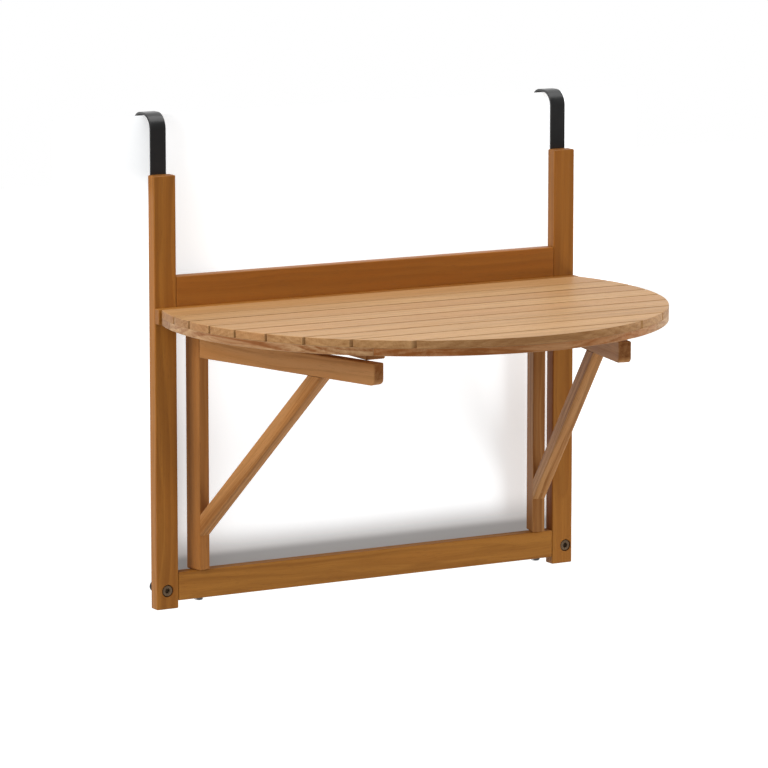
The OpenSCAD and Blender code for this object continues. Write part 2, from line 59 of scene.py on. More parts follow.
# %% [markdown]
# ## Camera
# The picture was taken with a long lens from the left and a little above, so the posts hardly lean
# together. A long lens far away gives the same look, and needs no shift, which would push the table
# out of the middle when the camera is moved to another side.

# %% Make the camera
CAMERA_PLACE = Vector((-2.707, -4.752, 0.550))
CAMERA_TURN = math.radians(30.05)
CAMERA_TILT = math.radians(9.25)
LENS = 215.3

camera = bpy.data.objects.new("camera", bpy.data.cameras.new("camera"))
bpy.context.scene.collection.objects.link(camera)
camera.location = CAMERA_PLACE
camera.rotation_euler = (math.pi / 2 - CAMERA_TILT, 0, -CAMERA_TURN)
camera.data.lens = LENS
camera.data.sensor_width = 36
camera.data.clip_end = 100
bpy.context.scene.camera = camera
print("camera distance:", round(CAMERA_PLACE.length, 2))

# %% [markdown]
# ## Finishes
# Every finish is built from nodes. A helper that makes a node, sets its plain values and wires its
# inputs keeps each material short enough to read.

# %% Helpers for node trees
def place_node(tree, kind, links=None, **settings):
    """Adds a node. Settings are its properties, links are sockets or plain values for its inputs."""
    node = tree.nodes.new(kind)
    for name, value in settings.items():
        setattr(node, name, value)
    for name, value in (links or {}).items():
        if isinstance(value, bpy.types.NodeSocket):
            tree.links.new(value, node.inputs[name])
        else:
            node.inputs[name].default_value = value
    return node


def reckon(tree, operation, *values, clamp=False):
    """One Math node, and its result."""
    inputs = dict(enumerate(values))
    return place_node(tree, "ShaderNodeMath", inputs, operation=operation, use_clamp=clamp).outputs[0]


def blend_colours(tree, share, first, second, kind="MIX"):
    """Mixes two colours by a share, and gives the result."""
    node = tree.nodes.new("ShaderNodeMix")
    node.data_type = "RGBA"
    node.blend_type = kind
    for index, value in ((0, share), (6, first), (7, second)):
        if isinstance(value, bpy.types.NodeSocket):
            tree.links.new(value, node.inputs[index])
        else:
            node.inputs[index].default_value = value
    return node.outputs[2]


def vector_step(tree, operation, first, second):
    """One Vector Math node, and its result."""
    inputs = {0: first, 1: second}
    return place_node(tree, "ShaderNodeVectorMath", inputs, operation=operation).outputs[0]


def stretched_noise(tree, grain, scales, detail=2.0, roughness=0.5):
    """Noise that is drawn out along the board: scales are cells per metre along and across it."""
    scaled = vector_step(tree, "MULTIPLY", grain, scales)
    inputs = {"Vector": scaled, "Scale": 1.0, "Detail": detail, "Roughness": roughness}
    return place_node(tree, "ShaderNodeTexNoise", inputs).outputs["Fac"]


def ramp(tree, value, low, high):
    """Stretches the values from low to high over 0 to 1, with soft ends."""
    inputs = {"Value": value, "From Min": low, "From Max": high, "To Min": 0.0, "To Max": 1.0}
    return place_node(tree, "ShaderNodeMapRange", inputs, interpolation_type="SMOOTHSTEP").outputs[0]


def new_group(name, sockets_in, sockets_out):
    """An empty shader node group with named inputs and outputs."""
    tree = bpy.data.node_groups.new(name, "ShaderNodeTree")
    for label, kind, value in sockets_in:
        socket = tree.interface.new_socket(label, in_out="INPUT", socket_type=kind)
        if value is not None:
            socket.default_value = value
    for label, kind in sockets_out:
        tree.interface.new_socket(label, in_out="OUTPUT", socket_type=kind)
    return tree, tree.nodes.new("NodeGroupInput"), tree.nodes.new("NodeGroupOutput")

# %% [markdown]
# ## Wood
# The real table is an oiled hardwood. Its boards are sawn from different logs, so each one shows its
# own rings, and the fibres run along it. An image would repeat, so the wood is a solid: rings round
# the heart of a log, bent a little, with drawn out noise for fibres and pores. Each board carries an
# attribute, grain, that says where each of its points lies in its log.

# %% Wood grain as a node group
COLOUR = "NodeSocketColor"
NUMBER = "NodeSocketFloat"
VECTOR = "NodeSocketVector"
LOG_BEND = 0.022
LATE_WOOD_SHARE, BROAD_SHARE, STREAK_SHARE, FIBRE_SHARE = 0.26, 0.34, 0.30, 0.24
MIDDLE_DEPTH = 0.55
PORE_COLOUR = (0.08, 0.03, 0.01, 1)
# Colour of darker end grain, also used as painted shade on the slats' edges in the gaps
END_AND_GAP_SHADE_COLOUR = (0.145, 0.040, 0.005, 1)


def make_wood_group():
    tree, given, result = new_group(
        "wood_grain",
        [
            ("Grain", VECTOR, None),
            ("Tone", NUMBER, 0.5),
            ("Cast", NUMBER, 0.0),
            ("Edge Highlight", NUMBER, 0.0),
            ("End", NUMBER, 0.0),
            ("Pale", COLOUR, (0.5, 0.3, 0.15, 1)),
            ("Deep", COLOUR, (0.25, 0.1, 0.03, 1)),
            ("Warm", COLOUR, (0.5, 0.2, 0.08, 1)),
            ("Ring Gap", NUMBER, 0.005),
            ("Contrast", NUMBER, 1.0),
        ],
        [("Colour", COLOUR), ("Gloss Mask", NUMBER), ("Height", NUMBER)],
    )
    knobs = given.outputs
    grain = knobs["Grain"]

    # The log is never straight, so its rings wander along the board
    wander = place_node(
        tree,
        "ShaderNodeTexNoise",
        {"Vector": vector_step(tree, "MULTIPLY", grain, (3.5, 17, 17)), "Scale": 1.0, "Detail": 2.0},
    )
    centred = vector_step(tree, "SUBTRACT", wander.outputs["Color"], (0.5, 0.5, 0.5))
    bent = vector_step(tree, "ADD", grain, vector_step(tree, "MULTIPLY", centred, (0, LOG_BEND, LOG_BEND)))
    across = vector_step(tree, "MULTIPLY", bent, (0, 1, 1))
    from_heart = place_node(tree, "ShaderNodeVectorMath", {0: across}, operation="LENGTH").outputs["Value"]
    season = reckon(tree, "FRACT", reckon(tree, "DIVIDE", from_heart, knobs["Ring Gap"]))
    late = reckon(tree, "MULTIPLY", ramp(tree, season, 0.1, 0.85), ramp(tree, season, 1.0, 0.9))

    broad = ramp(tree, stretched_noise(tree, bent, (1.3, 24, 24)), 0.32, 0.68)
    streaks = ramp(tree, stretched_noise(tree, bent, (2.6, 150, 150)), 0.34, 0.68)
    fibres = stretched_noise(tree, bent, (9, 520, 520), 3.0, 0.6)
    pores = ramp(tree, stretched_noise(tree, bent, (70, 1900, 1900), 1.0), 0.62, 0.72)
    figure = ramp(tree, stretched_noise(tree, bent, (5, 60, 60)), 0.35, 0.7)

    # Rings, streaks and fibres together say how deep the colour is
    depth = reckon(tree, "MULTIPLY", late, LATE_WOOD_SHARE)
    fine = ramp(tree, fibres, 0.3, 0.7)
    for part, share in ((broad, BROAD_SHARE), (streaks, STREAK_SHARE), (fine, FIBRE_SHARE)):
        depth = reckon(tree, "MULTIPLY_ADD", part, share, depth)
    depth = reckon(tree, "MULTIPLY", reckon(tree, "SUBTRACT", depth, MIDDLE_DEPTH), knobs["Contrast"])
    depth = reckon(tree, "ADD", depth, knobs["Tone"], clamp=True)

    pale, deep = knobs["Pale"], knobs["Deep"]
    colour = blend_colours(tree, depth, pale, deep)
    warmth = reckon(tree, "MULTIPLY_ADD", figure, 0.35, knobs["Cast"], clamp=True)
    warm = blend_colours(tree, reckon(tree, "MULTIPLY", depth, 0.4), knobs["Warm"], deep)
    colour = blend_colours(tree, warmth, colour, warm)
    colour = blend_colours(tree, reckon(tree, "MULTIPLY", pores, 0.38), colour, PORE_COLOUR)
    # A sawn end drinks more oil and turns darker. The same darkening on the slats' long edges is painted
    # shade in the gaps between them. The eased edges are painted paler: a painted highlight where their
    # rounding catches light.
    ends = reckon(tree, "MULTIPLY", knobs["End"], reckon(tree, "MULTIPLY_ADD", fibres, 0.35, 0.38))
    colour = blend_colours(tree, ends, colour, END_AND_GAP_SHADE_COLOUR)
    edge_highlight = reckon(tree, "MULTIPLY", knobs["Edge Highlight"], reckon(tree, "MULTIPLY_ADD", fibres, 0.5, 0.05))
    colour = blend_colours(tree, edge_highlight, colour, pale)

    sunk = reckon(tree, "MULTIPLY", pores, 0.8)
    height = reckon(tree, "SUBTRACT", reckon(tree, "MULTIPLY", fibres, 0.6), sunk)
    gloss = ramp(tree, reckon(tree, "MULTIPLY_ADD", pores, 0.4, fibres), 0.2, 0.9)
    tree.links.new(colour, result.inputs["Colour"])
    tree.links.new(gloss, result.inputs["Gloss Mask"])
    tree.links.new(height, result.inputs["Height"])
    return tree


WOOD_GROUP = make_wood_group()
print("wood group nodes:", len(WOOD_GROUP.nodes))

# %% [markdown]
# The group is placed in a material with the colours of one kind of board. The shader stays outside it,
# so that its plain numbers can be set on its own sockets.

# %% One wood material for each family of boards
WOOD_ROUGHNESS = (0.40, 0.60)
WOOD_BUMP = (0.35, 0.00025)


def attribute(tree, name, output):
    node = place_node(tree, "ShaderNodeAttribute", attribute_name=name, attribute_type="GEOMETRY")
    return node.outputs[output]


def add_bump(tree, height, strength, distance):
    """Feeds a height to the shader as a fine bump."""
    inputs = {"Strength": strength, "Distance": distance, "Height": height}
    bump = place_node(tree, "ShaderNodeBump", inputs)
    tree.links.new(bump.outputs[0], tree.nodes["Principled BSDF"].inputs["Normal"])


def new_material(name, group):
    """A material with a shader and a node group beside it, whose colour it takes."""
    material = bpy.data.materials.new(name)
    material.use_nodes = True
    tree = material.node_tree
    shader = tree.nodes["Principled BSDF"]
    node = place_node(tree, "ShaderNodeGroup", node_tree=group)
    tree.links.new(node.outputs["Colour"], shader.inputs["Base Color"])
    return material, tree, shader, node


def make_wood(name, pale, deep, warm, ring_gap, contrast, specular):
    material, tree, shader, wood = new_material(name, WOOD_GROUP)
    for label, layer, output in (
        ("Grain", "grain", "Vector"), ("Tone", "tone", "Fac"), ("Cast", "cast", "Fac"),
        ("Edge Highlight", "eased", "Fac"), ("End", "end", "Fac"),
    ):
        tree.links.new(attribute(tree, layer, output), wood.inputs[label])
    for label, colour in (("Pale", pale), ("Deep", deep), ("Warm", warm)):
        wood.inputs[label].default_value = (*colour, 1)
    wood.inputs["Ring Gap"].default_value = ring_gap
    wood.inputs["Contrast"].default_value = contrast
    inputs = {"Value": wood.outputs["Gloss Mask"], "To Min": WOOD_ROUGHNESS[0], "To Max": WOOD_ROUGHNESS[1]}
    spread = place_node(tree, "ShaderNodeMapRange", inputs)
    tree.links.new(spread.outputs[0], shader.inputs["Roughness"])
    add_bump(tree, wood.outputs["Height"], *WOOD_BUMP)
    shader.inputs["Specular IOR Level"].default_value = specular
    return material


# All four are one oiled hardwood. The top's colours are paler and greyer than the frame's: a painted sheen of
# the light from above. The rim's and the gates' pale colours are greyer too, as painted sheen on the faces
# that catch the side light. The gates' low specular leaves that sheen to the colour.
frame_wood = make_wood(
    "frame_wood", (0.42, 0.172, 0.026), (0.20, 0.062, 0.005), (0.39, 0.115, 0.010), 0.0065, 1.3, 0.34
)
top_wood = make_wood(
    "top_wood", (0.60, 0.345, 0.145), (0.35, 0.17, 0.056), (0.54, 0.255, 0.09), 0.0055, 1.3, 0.3
)
rim_wood = make_wood(
    "rim_wood", (0.53, 0.32, 0.155), (0.22, 0.070, 0.011), (0.40, 0.122, 0.020), 0.0055, 1.3, 0.36
)
gate_wood = make_wood(
    "gate_wood", (0.50, 0.250, 0.095), (0.17, 0.050, 0.004), (0.43, 0.145, 0.016), 0.006, 1.35, 0.14
)
print("wood materials:", frame_wood.name, top_wood.name, rim_wood.name, gate_wood.name)

# %% [markdown]
# ## Metals, rubber and plain dowels
# Steel strip with a powder coat is not smooth: the powder melts into a fine orange peel. Zinc plated
# screws are bright with a cloudy roughness, and rubber is dull. All of them are the same idea, a fine
# noise for height and a cloudy one for roughness, so one group makes them all.

# %% A group for fine surface unevenness, and the materials that use it
def make_finish_group():
    tree, given, result = new_group(
        "fine_finish",
        [
            ("Size", NUMBER, 0.0008),
            ("Base", COLOUR, (0.5, 0.5, 0.5, 1)),
            ("Dusty", COLOUR, (0.6, 0.6, 0.6, 1)),
            ("Smooth", NUMBER, 0.3),
            ("Rough", NUMBER, 0.5),
        ],
        [("Colour", COLOUR), ("Roughness", NUMBER), ("Height", NUMBER)],
    )
    knobs = given.outputs
    place = place_node(tree, "ShaderNodeTexCoord").outputs["Object"]
    grain_scale = reckon(tree, "DIVIDE", 1.0, knobs["Size"])
    fine = place_node(tree, "ShaderNodeTexNoise", {"Vector": place, "Scale": grain_scale, "Detail": 2.0})
    cloud = place_node(tree, "ShaderNodeTexNoise", {"Vector": place, "Scale": 55.0, "Detail": 4.0})
    clouded = ramp(tree, cloud.outputs["Fac"], 0.35, 0.7)
    inputs = {"Value": clouded, "To Min": knobs["Smooth"], "To Max": knobs["Rough"]}
    spread = place_node(tree, "ShaderNodeMapRange", inputs)
    dusted = reckon(tree, "MULTIPLY", clouded, 0.5)
    tint = blend_colours(tree, dusted, knobs["Base"], knobs["Dusty"])
    tree.links.new(tint, result.inputs["Colour"])
    tree.links.new(spread.outputs[0], result.inputs["Roughness"])
    tree.links.new(fine.outputs["Fac"], result.inputs["Height"])
    return tree


FINISH_GROUP = make_finish_group()
FINISH_BUMP = 0.4


def make_finish(name, base, dusty, smooth, rough, metallic, size, bump_depth, specular=0.5):
    """A material for metal or rubber. Size and bump depth are those of its fine unevenness, in metres."""
    material, tree, shader, finish = new_material(name, FINISH_GROUP)
    values = {"Size": size, "Base": (*base, 1), "Dusty": (*dusty, 1), "Smooth": smooth, "Rough": rough}
    for label, value in values.items():
        finish.inputs[label].default_value = value
    tree.links.new(finish.outputs["Roughness"], shader.inputs["Roughness"])
    add_bump(tree, finish.outputs["Height"], FINISH_BUMP, bump_depth)
    shader.inputs["Metallic"].default_value = metallic
    shader.inputs["Specular IOR Level"].default_value = specular
    return material


hook_coat = make_finish(
    "hook_coat", (0.016, 0.016, 0.0165), (0.021, 0.021, 0.0215), 0.28, 0.38, 0.0, 0.0009, 0.00005, 0.6
)
zinc = make_finish("zinc", (0.52, 0.52, 0.53), (0.42, 0.42, 0.44), 0.24, 0.42, 1.0, 0.0006, 0.00002)
bronzed = make_finish(
    "bronzed", (0.22, 0.145, 0.085), (0.14, 0.09, 0.05), 0.36, 0.5, 0.35, 0.0005, 0.00002
)
brass = make_finish("brass", (0.66, 0.47, 0.20), (0.55, 0.38, 0.16), 0.22, 0.4, 1.0, 0.0004, 0.00002)
rubber = make_finish(
    "rubber", (0.018, 0.018, 0.018), (0.03, 0.03, 0.03), 0.7, 0.85, 0.0, 0.0006, 0.00006, 0.3
)
beech = make_finish("beech", (0.56, 0.37, 0.20), (0.48, 0.30, 0.15), 0.55, 0.7, 0.0, 0.0007, 0.00005, 0.3)
print("other finishes:", hook_coat.name, zinc.name, bronzed.name, brass.name, rubber.name, beech.name)

# %% [markdown]
# ## Boards
# A board starts as a cube primitive at its size and place. Its sharp edges are then selected in code
# and beveled, because a real board is sanded: the rounding is what catches the light. The faces that
# the bevel makes are marked, so that the wood can be painted paler there, a painted highlight.

# %% Helpers for modelling
def make_active(piece):
    bpy.ops.object.select_all(action="DESELECT")
    piece.select_set(True)
    bpy.context.view_layer.objects.active = piece


def settle(piece):
    """Puts the piece's place, turn and size into its mesh."""
    make_active(piece)
    bpy.ops.object.transform_apply(location=True, rotation=True, scale=True)


def take_new(name, scale=None):
    """Names the object that was just added, scales it if asked, and puts its place into its mesh."""
    piece = bpy.context.object
    piece.name = name
    piece.data.name = name
    if scale:
        piece.scale = scale
    settle(piece)
    return piece


def add_block(name, low, high):
    """A cube primitive that fills the space between two corners."""
    size = Vector(high) - Vector(low)
    bpy.ops.mesh.primitive_cube_add(size=1, location=(Vector(low) + Vector(high)) / 2, scale=size)
    return take_new(name)


def mark_eased(piece):
    """Sets the attribute eased to one on the faces that are selected now."""
    mesh = piece.data
    layer = mesh.attributes.get("eased") or mesh.attributes.new("eased", "FLOAT", "FACE")
    for face in mesh.polygons:
        if face.select:
            layer.data[face.index].value = 1.0


def bevel_selected(piece, radius, steps):
    """Rounds the edges that are selected in edit mode, and leaves edit mode."""
    bpy.ops.mesh.bevel(
        offset=radius, offset_type="OFFSET", segments=steps, profile=0.5, affect="EDGES", clamp_overlap=True
    )
    bpy.ops.object.mode_set(mode="OBJECT")
    mark_eased(piece)


def edit_edges(piece):
    """Opens a piece's edges in edit mode, with none of them selected."""
    make_active(piece)
    bpy.ops.object.mode_set(mode="EDIT")
    bpy.ops.mesh.select_mode(type="EDGE")
    bpy.ops.mesh.select_all(action="DESELECT")


def ease_edges(piece, radius, steps=3, sharper_than=30):
    """Rounds every edge that is sharper than an angle."""
    edit_edges(piece)
    bpy.ops.mesh.edges_select_sharp(sharpness=math.radians(sharper_than))
    bevel_selected(piece, radius, steps)


def select_edges(piece, wanted):
    """Selects the edges whose two end points satisfy wanted, and stays in edit mode."""
    edit_edges(piece)
    bpy.ops.object.mode_set(mode="OBJECT")
    points = piece.data.vertices
    for edge in piece.data.edges:
        first, second = (points[i].co for i in edge.vertices)
        edge.select = wanted(first, second)
    bpy.ops.object.mode_set(mode="EDIT")


def smooth(piece, angle=35):
    """Smooth shading over the rounded edges only, with the flat faces kept flat."""
    make_active(piece)
    bpy.ops.object.shade_smooth_by_angle(angle=math.radians(angle))
    bpy.ops.object.modifier_add(type="WEIGHTED_NORMAL")
    weighted = piece.modifiers[-1]
    weighted.keep_sharp = True
    weighted.weight = 50
    bpy.ops.object.modifier_apply(modifier=weighted.name)

# %% [markdown]
# Bores and screws are round, so both are turned: a circle is extruded upwards ring by ring, and each
# new ring is scaled to its radius. The first ring's face closes the bottom, so the solid is whole. A
# hole is such a solid taken away, with its mouth a little wider than the screw that fills it.

# %% Turned solids, copies of them and cuts with them
WELD = 0.001 * MM
FINE_STEPS = 48
BIG_HEAD = 3.4
BIG_SHANK, SMALL_SHANK = 2.0, 1.5
DRILL_SPARE = 0.35


def turn_outwards():
    """Turns every face of the mesh in edit mode outwards, and leaves edit mode."""
    bpy.ops.mesh.select_all(action="SELECT")
    bpy.ops.mesh.normals_make_consistent(inside=False)
    bpy.ops.object.mode_set(mode="OBJECT")


def edit_all():
    """Opens the active mesh in edit mode, with all of it selected."""
    bpy.ops.object.mode_set(mode="EDIT")
    bpy.ops.mesh.select_all(action="SELECT")


def extrude(*step):
    """Extrudes what is selected in edit mode by a step."""
    bpy.ops.mesh.extrude_region_move(TRANSFORM_OT_translate={"value": step})


def turned(name, profile, steps=32):
    """A closed solid of revolution round Z. The profile lists (radius, height) in millimetres."""
    radius, height = profile[0]
    bpy.ops.mesh.primitive_circle_add(
        vertices=steps, radius=radius * MM, fill_type="NGON", location=(0, 0, height * MM)
    )
    piece = take_new(name)
    edit_all()
    for next_radius, next_height in profile[1:]:
        extrude(0, 0, (next_height - height) * MM)
        bpy.ops.transform.resize(value=(next_radius / radius, next_radius / radius, 1))
        radius, height = next_radius, next_height
    turn_outwards()
    return piece


def remove(piece):
    make_active(piece)
    bpy.ops.object.delete()


def stand_copies(pattern, name, places, seed=1):
    """Copies a pattern to every spot, with its +Z along a direction. The copies are joined."""
    dice = random.Random(seed)
    copies = []
    for spot, direction in places:
        make_active(pattern)
        bpy.ops.object.duplicate()
        twin = bpy.context.object
        aim = Vector(direction).to_track_quat("Z", "Y").to_matrix().to_4x4()
        twin.matrix_world = Matrix.Translation(spot) @ aim @ Matrix.Rotation(dice.uniform(0, math.pi), 4, "Z")
        copies.append(twin)
    remove(pattern)
    make_active(copies[0])
    for twin in copies:
        twin.select_set(True)
    if len(copies) > 1:
        bpy.ops.object.join()
    return take_new(name)


def cut_away(piece, cutter):
    make_active(piece)
    bpy.ops.object.modifier_add(type="BOOLEAN")
    cut = piece.modifiers[-1]
    cut.operation = "DIFFERENCE"
    cut.solver = "EXACT"
    cut.object = cutter
    bpy.ops.object.modifier_apply(modifier=cut.name)
    remove(cutter)


def solid_boxes(node):
    """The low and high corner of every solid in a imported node, found on a merged copy."""
    source = frame["nodes"][node]
    twin = bpy.data.objects.new("twin", source.data.copy())
    bpy.context.scene.collection.objects.link(twin)
    twin.matrix_world = source.matrix_world
    make_active(twin)
    edit_all()
    bpy.ops.mesh.remove_doubles(threshold=WELD)
    bpy.ops.mesh.separate(type="LOOSE")
    bpy.ops.object.mode_set(mode="OBJECT")
    boxes = []
    for part in bpy.context.selected_objects:
        axes = list(zip(*(part.matrix_world @ point.co for point in part.data.vertices)))
        boxes.append((Vector([min(values) for values in axes]), Vector([max(values) for values in axes])))
    bpy.ops.object.delete()
    return sorted(boxes, key=lambda box: [round(value, 4) for value in box[0]])


def fastener_places(node, direction):
    """The middle of each head's face, for fasteners that all point one way."""
    axis = max(range(3), key=lambda index: abs(direction[index]))
    places = []
    for low, high in solid_boxes(node):
        spot = (low + high) / 2
        spot[axis] = low[axis] if direction[axis] > 0 else high[axis]
        places.append((spot, direction))
    return places


RIGHT, BACK, UP = Vector((1, 0, 0)), Vector((0, 1, 0)), Vector((0, 0, 1))
SCREWS = {
    "hook_screws": (-BACK, "frame"),
    "ledger_screws": (-BACK, "frame"),
    "hinge_back_screws": (UP, "frame"),
    "slat_screws": (UP, "top"),
    "batten_screws": (UP, "top"),
    "hinge_front_screws": (UP, "top"),
}
SCREW_PLACES = {node: fastener_places(node, direction) for node, (direction, _) in SCREWS.items()}
FOOT_PLACES = {side: fastener_places(f"{side}_foot_bolt", BACK) for side in ("left", "right")}
print("screws:", {node: len(places) for node, places in SCREW_PLACES.items()})


def screw_sizes(node):
    """Head radius, shank radius and length in millimetres, measured on the first screw of a node."""
    low, high = solid_boxes(node)[0]
    across, _, length = sorted((high - low) / MM)
    head = across / 2
    return head, BIG_SHANK if head > BIG_HEAD else SMALL_SHANK, length


def countersink(piece, node):
    """Drills the holes for the screws of a node that start inside the box of a piece."""
    head, shank, length = screw_sizes(node)
    corners = [Vector(corner) for corner in piece.bound_box]
    inside = [
        (spot, direction)
        for spot, direction in SCREW_PLACES[node]
        if all(corners[0][axis] - MM < spot[axis] < corners[6][axis] + MM for axis in range(3))
    ]
    if inside:
        mouth, bore = head + DRILL_SPARE, shank + DRILL_SPARE
        hole = turned("hole", [(mouth + 0.3, -1), (mouth, 0), (bore, mouth - bore), (bore, length)])
        cut_away(piece, stand_copies(hole, "holes", inside))
    return len(inside)

# %% [markdown]
# A board's grain is a second set of coordinates: metres along the fibres, and metres across them from
# the heart of the log. The heart lies somewhere under the board's wide face, at a distance drawn with
# a fixed seed, so that no two boards look alike and every run gives the same table.

# %% Lay the grain in a board
def write_layer(mesh, name, kind, domain, values):
    layer = mesh.attributes.get(name) or mesh.attributes.new(name, kind, domain)
    layer.data.foreach_set("vector" if kind == "FLOAT_VECTOR" else "value", values.astype(np.float32).ravel())


def lay_grain(piece, along, wide, seed, tone=0.5, spread=0.12, end_and_gap_shade=(1.0, 0.0), cast=None, painted_light_drift=0.0):
    """Writes the wood's layers. Along is the fibres' direction and wide the direction of the board's width.

    Drift is how much deeper the tone is at the board's far end than at its middle: a painted gradient of
    light and shade along the board."""
    dice = random.Random(seed)
    along, wide = Vector(along).normalized(), Vector(wide).normalized()
    mesh = piece.data
    places = np.empty(len(mesh.vertices) * 3)
    mesh.vertices.foreach_get("co", places)
    places = places.reshape(-1, 3)
    axes = np.array([along, wide, along.cross(wide)])
    side = dice.choice((-1, 1))
    offset = (dice.uniform(-5, 5), dice.uniform(-0.045, 0.045), side * dice.uniform(0.03, 0.09))
    centred = (places - (places.min(0) + places.max(0)) / 2) @ axes.T
    write_layer(mesh, "grain", "FLOAT_VECTOR", "POINT", centred + np.array(offset))
    tones = tone + dice.uniform(-spread, spread) + painted_light_drift * centred[:, 0] / centred[:, 0].max()
    write_layer(mesh, "tone", "FLOAT", "POINT", tones)
    cast = dice.uniform(-0.2, 0.3) if cast is None else cast
    write_layer(mesh, "cast", "FLOAT", "POINT", np.full(len(places), cast))
    normals = np.empty(len(mesh.polygons) * 3)
    mesh.polygons.foreach_get("normal", normals)
    normals = normals.reshape(-1, 3)
    # End grain is darker. The share across the board's width is painted shade, used on the slats' long edges
    # in the gaps between them.
    ends = end_and_gap_shade[0] * (normals @ np.array(along)) ** 4
    sides = end_and_gap_shade[1] * (normals @ np.array(wide)) ** 2
    write_layer(mesh, "end", "FLOAT", "FACE", ends + sides)


def finish_piece(piece, body, material, slot, *nodes):
    """Gives a piece its material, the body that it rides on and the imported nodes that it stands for."""
    piece.data.materials.clear()
    piece.data.materials.append(material)
    if nodes:
        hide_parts(*nodes)
    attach(piece, body)
    return piece

# %% [markdown]
# ## Frame
# Two posts, two rails and the narrow ledger that carries the hinges. The joints between them are
# tight, so the rails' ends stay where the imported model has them.

# %% Posts, rails and ledger
EASE = 1.5 * MM
LEDGER_EASE = 0.8 * MM
COUNTERBORE = 7.3
MOUTH_CHAMFER = 1.4
BORE_DEPTH = 18


def drill_foot(piece, side):
    """The counterbore for the head of the foot bolt, with a chamfered mouth, and the bore for its insert."""
    insert_low, insert_high = solid_boxes("foot_inserts")[0]
    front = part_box("left_post")[0].y
    seat, bore = (insert_low.y - front) / MM, (insert_high.x - insert_low.x) / 2 / MM + 0.05
    spot = FOOT_PLACES[side][0][0].copy()
    spot.y = front
    mouth = [(COUNTERBORE + MOUTH_CHAMFER, -1), (COUNTERBORE, 0.4), (COUNTERBORE, seat)]
    hole = turned("hole", mouth + [(bore, seat), (bore, BORE_DEPTH)], FINE_STEPS)
    cut_away(piece, stand_copies(hole, "holes", [(spot, BACK)]))


def frame_board(node, along, wide, ease, seed, tone, cast):
    piece = add_block(node + "_board", *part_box(node))
    ease_edges(piece, ease)
    if node.endswith("post"):
        drill_foot(piece, node.split("_")[0])
    countersink(piece, "ledger_screws")
    smooth(piece)
    lay_grain(piece, along, wide, seed, tone, cast=cast)
    return finish_piece(piece, "frame", frame_wood, "frame_wood", node)


# The top rail's deep, warm tone and the bottom rail's paler, greyer cast are painted light: they copy the
# pale bounce light that reaches the lower boards.
for row in (
    ("left_post", UP, RIGHT, EASE, 11, 0.44, 0.15),
    ("right_post", UP, RIGHT, EASE, 12, 0.62, 0.0),
    ("top_rail", RIGHT, UP, EASE, 13, 0.62, 0.60),
    ("bottom_rail", RIGHT, UP, EASE, 14, 0.50, -0.15),
    ("hinge_ledger", RIGHT, UP, LEDGER_EASE, 15, 0.40, 0.1),
):
    board = frame_board(*row)
    print(board.name, len(board.data.polygons), "faces")

# %% [markdown]
# ## Slats
# The nine slats are one round disc cut into strips. Each one starts as a filled circle, is bisected
# at its two long sides, and is extruded to its thickness, so that all nine ends lie on one circle.

# %% Slats cut from one circle
TOP_BODY = "top"
RIM_SEAM = math.radians(39)
rim_low, rim_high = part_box("rim_front")
front_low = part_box("slat_9")[0]
TABLE_RADIUS = (rim_high.x - rim_low.x) / 2 / math.sin(RIM_SEAM)
TABLE_MIDDLE = Vector((0, front_low.y + TABLE_RADIUS, front_low.z))
SLAT_EASE = 0.7 * MM
ARC_STEPS = 256
# Each slat's own tone. The slats also deepen towards the back rail: painted shade from the rail.
SLAT_TONES_AND_BACK_SHADE = (0.62, 0.50, 0.58, 0.40, 0.48, 0.36, 0.47, 0.38, 0.44)
SLAT_TONE_SPREAD = 0.05
# Darker slat ends, and painted shade on their long edges in the gaps
SLAT_END_AND_GAP_SHADE = (0.65, 0.7)


def cut_plane(place, outwards, fill):
    """In edit mode, cuts away what lies beyond a plane, and closes the cut if asked."""
    bpy.ops.mesh.select_all(action="SELECT")
    bpy.ops.mesh.bisect(plane_co=place, plane_no=outwards, use_fill=fill, clear_outer=True)


def disc_strip(node, ease):
    """The part of the table's disc that lies in the box of a node."""
    low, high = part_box(node)
    bpy.ops.mesh.primitive_circle_add(
        vertices=ARC_STEPS, radius=TABLE_RADIUS, fill_type="NGON", location=(0, TABLE_MIDDLE.y, low.z)
    )
    piece = take_new(node + "_board")
    bpy.ops.object.mode_set(mode="EDIT")
    cut_plane((0, high.y, low.z), BACK, False)
    cut_plane((0, low.y, low.z), -BACK, False)
    bpy.ops.mesh.select_all(action="SELECT")
    extrude(0, 0, high.z - low.z)
    turn_outwards()
    ease_edges(piece, ease, 2)
    return piece


for index, tone in enumerate(SLAT_TONES_AND_BACK_SHADE, 1):
    board = disc_strip(f"slat_{index}", SLAT_EASE)
    smooth(board)
    lay_grain(board, RIGHT, BACK, 30 + index, tone, SLAT_TONE_SPREAD, SLAT_END_AND_GAP_SHADE)
    finish_piece(board, TOP_BODY, top_wood, "top_wood", f"slat_{index}")
    print(board.name, len(board.data.polygons), "faces")

# %% [markdown]
# ## Rim and battens
# The ring under the slats is sawn from three boards, and closed at the back by a straight rail. Each
# sawn piece is a rectangle that is spun round the table's middle, then cut square where it meets the
# rear rail. Its fibres run straight along the chord of the arc, as in the board that it was sawn from.

# %% Rim pieces
RIM_END = math.radians(110)
RIM_WIDTH = 40 * MM
RIM_EASE = 0.7 * MM
RIM_STEP = math.radians(1.5)
RIM_TONE_SPREAD = 0.03
rear_rail_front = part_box("rim_rear_rail")[0].y


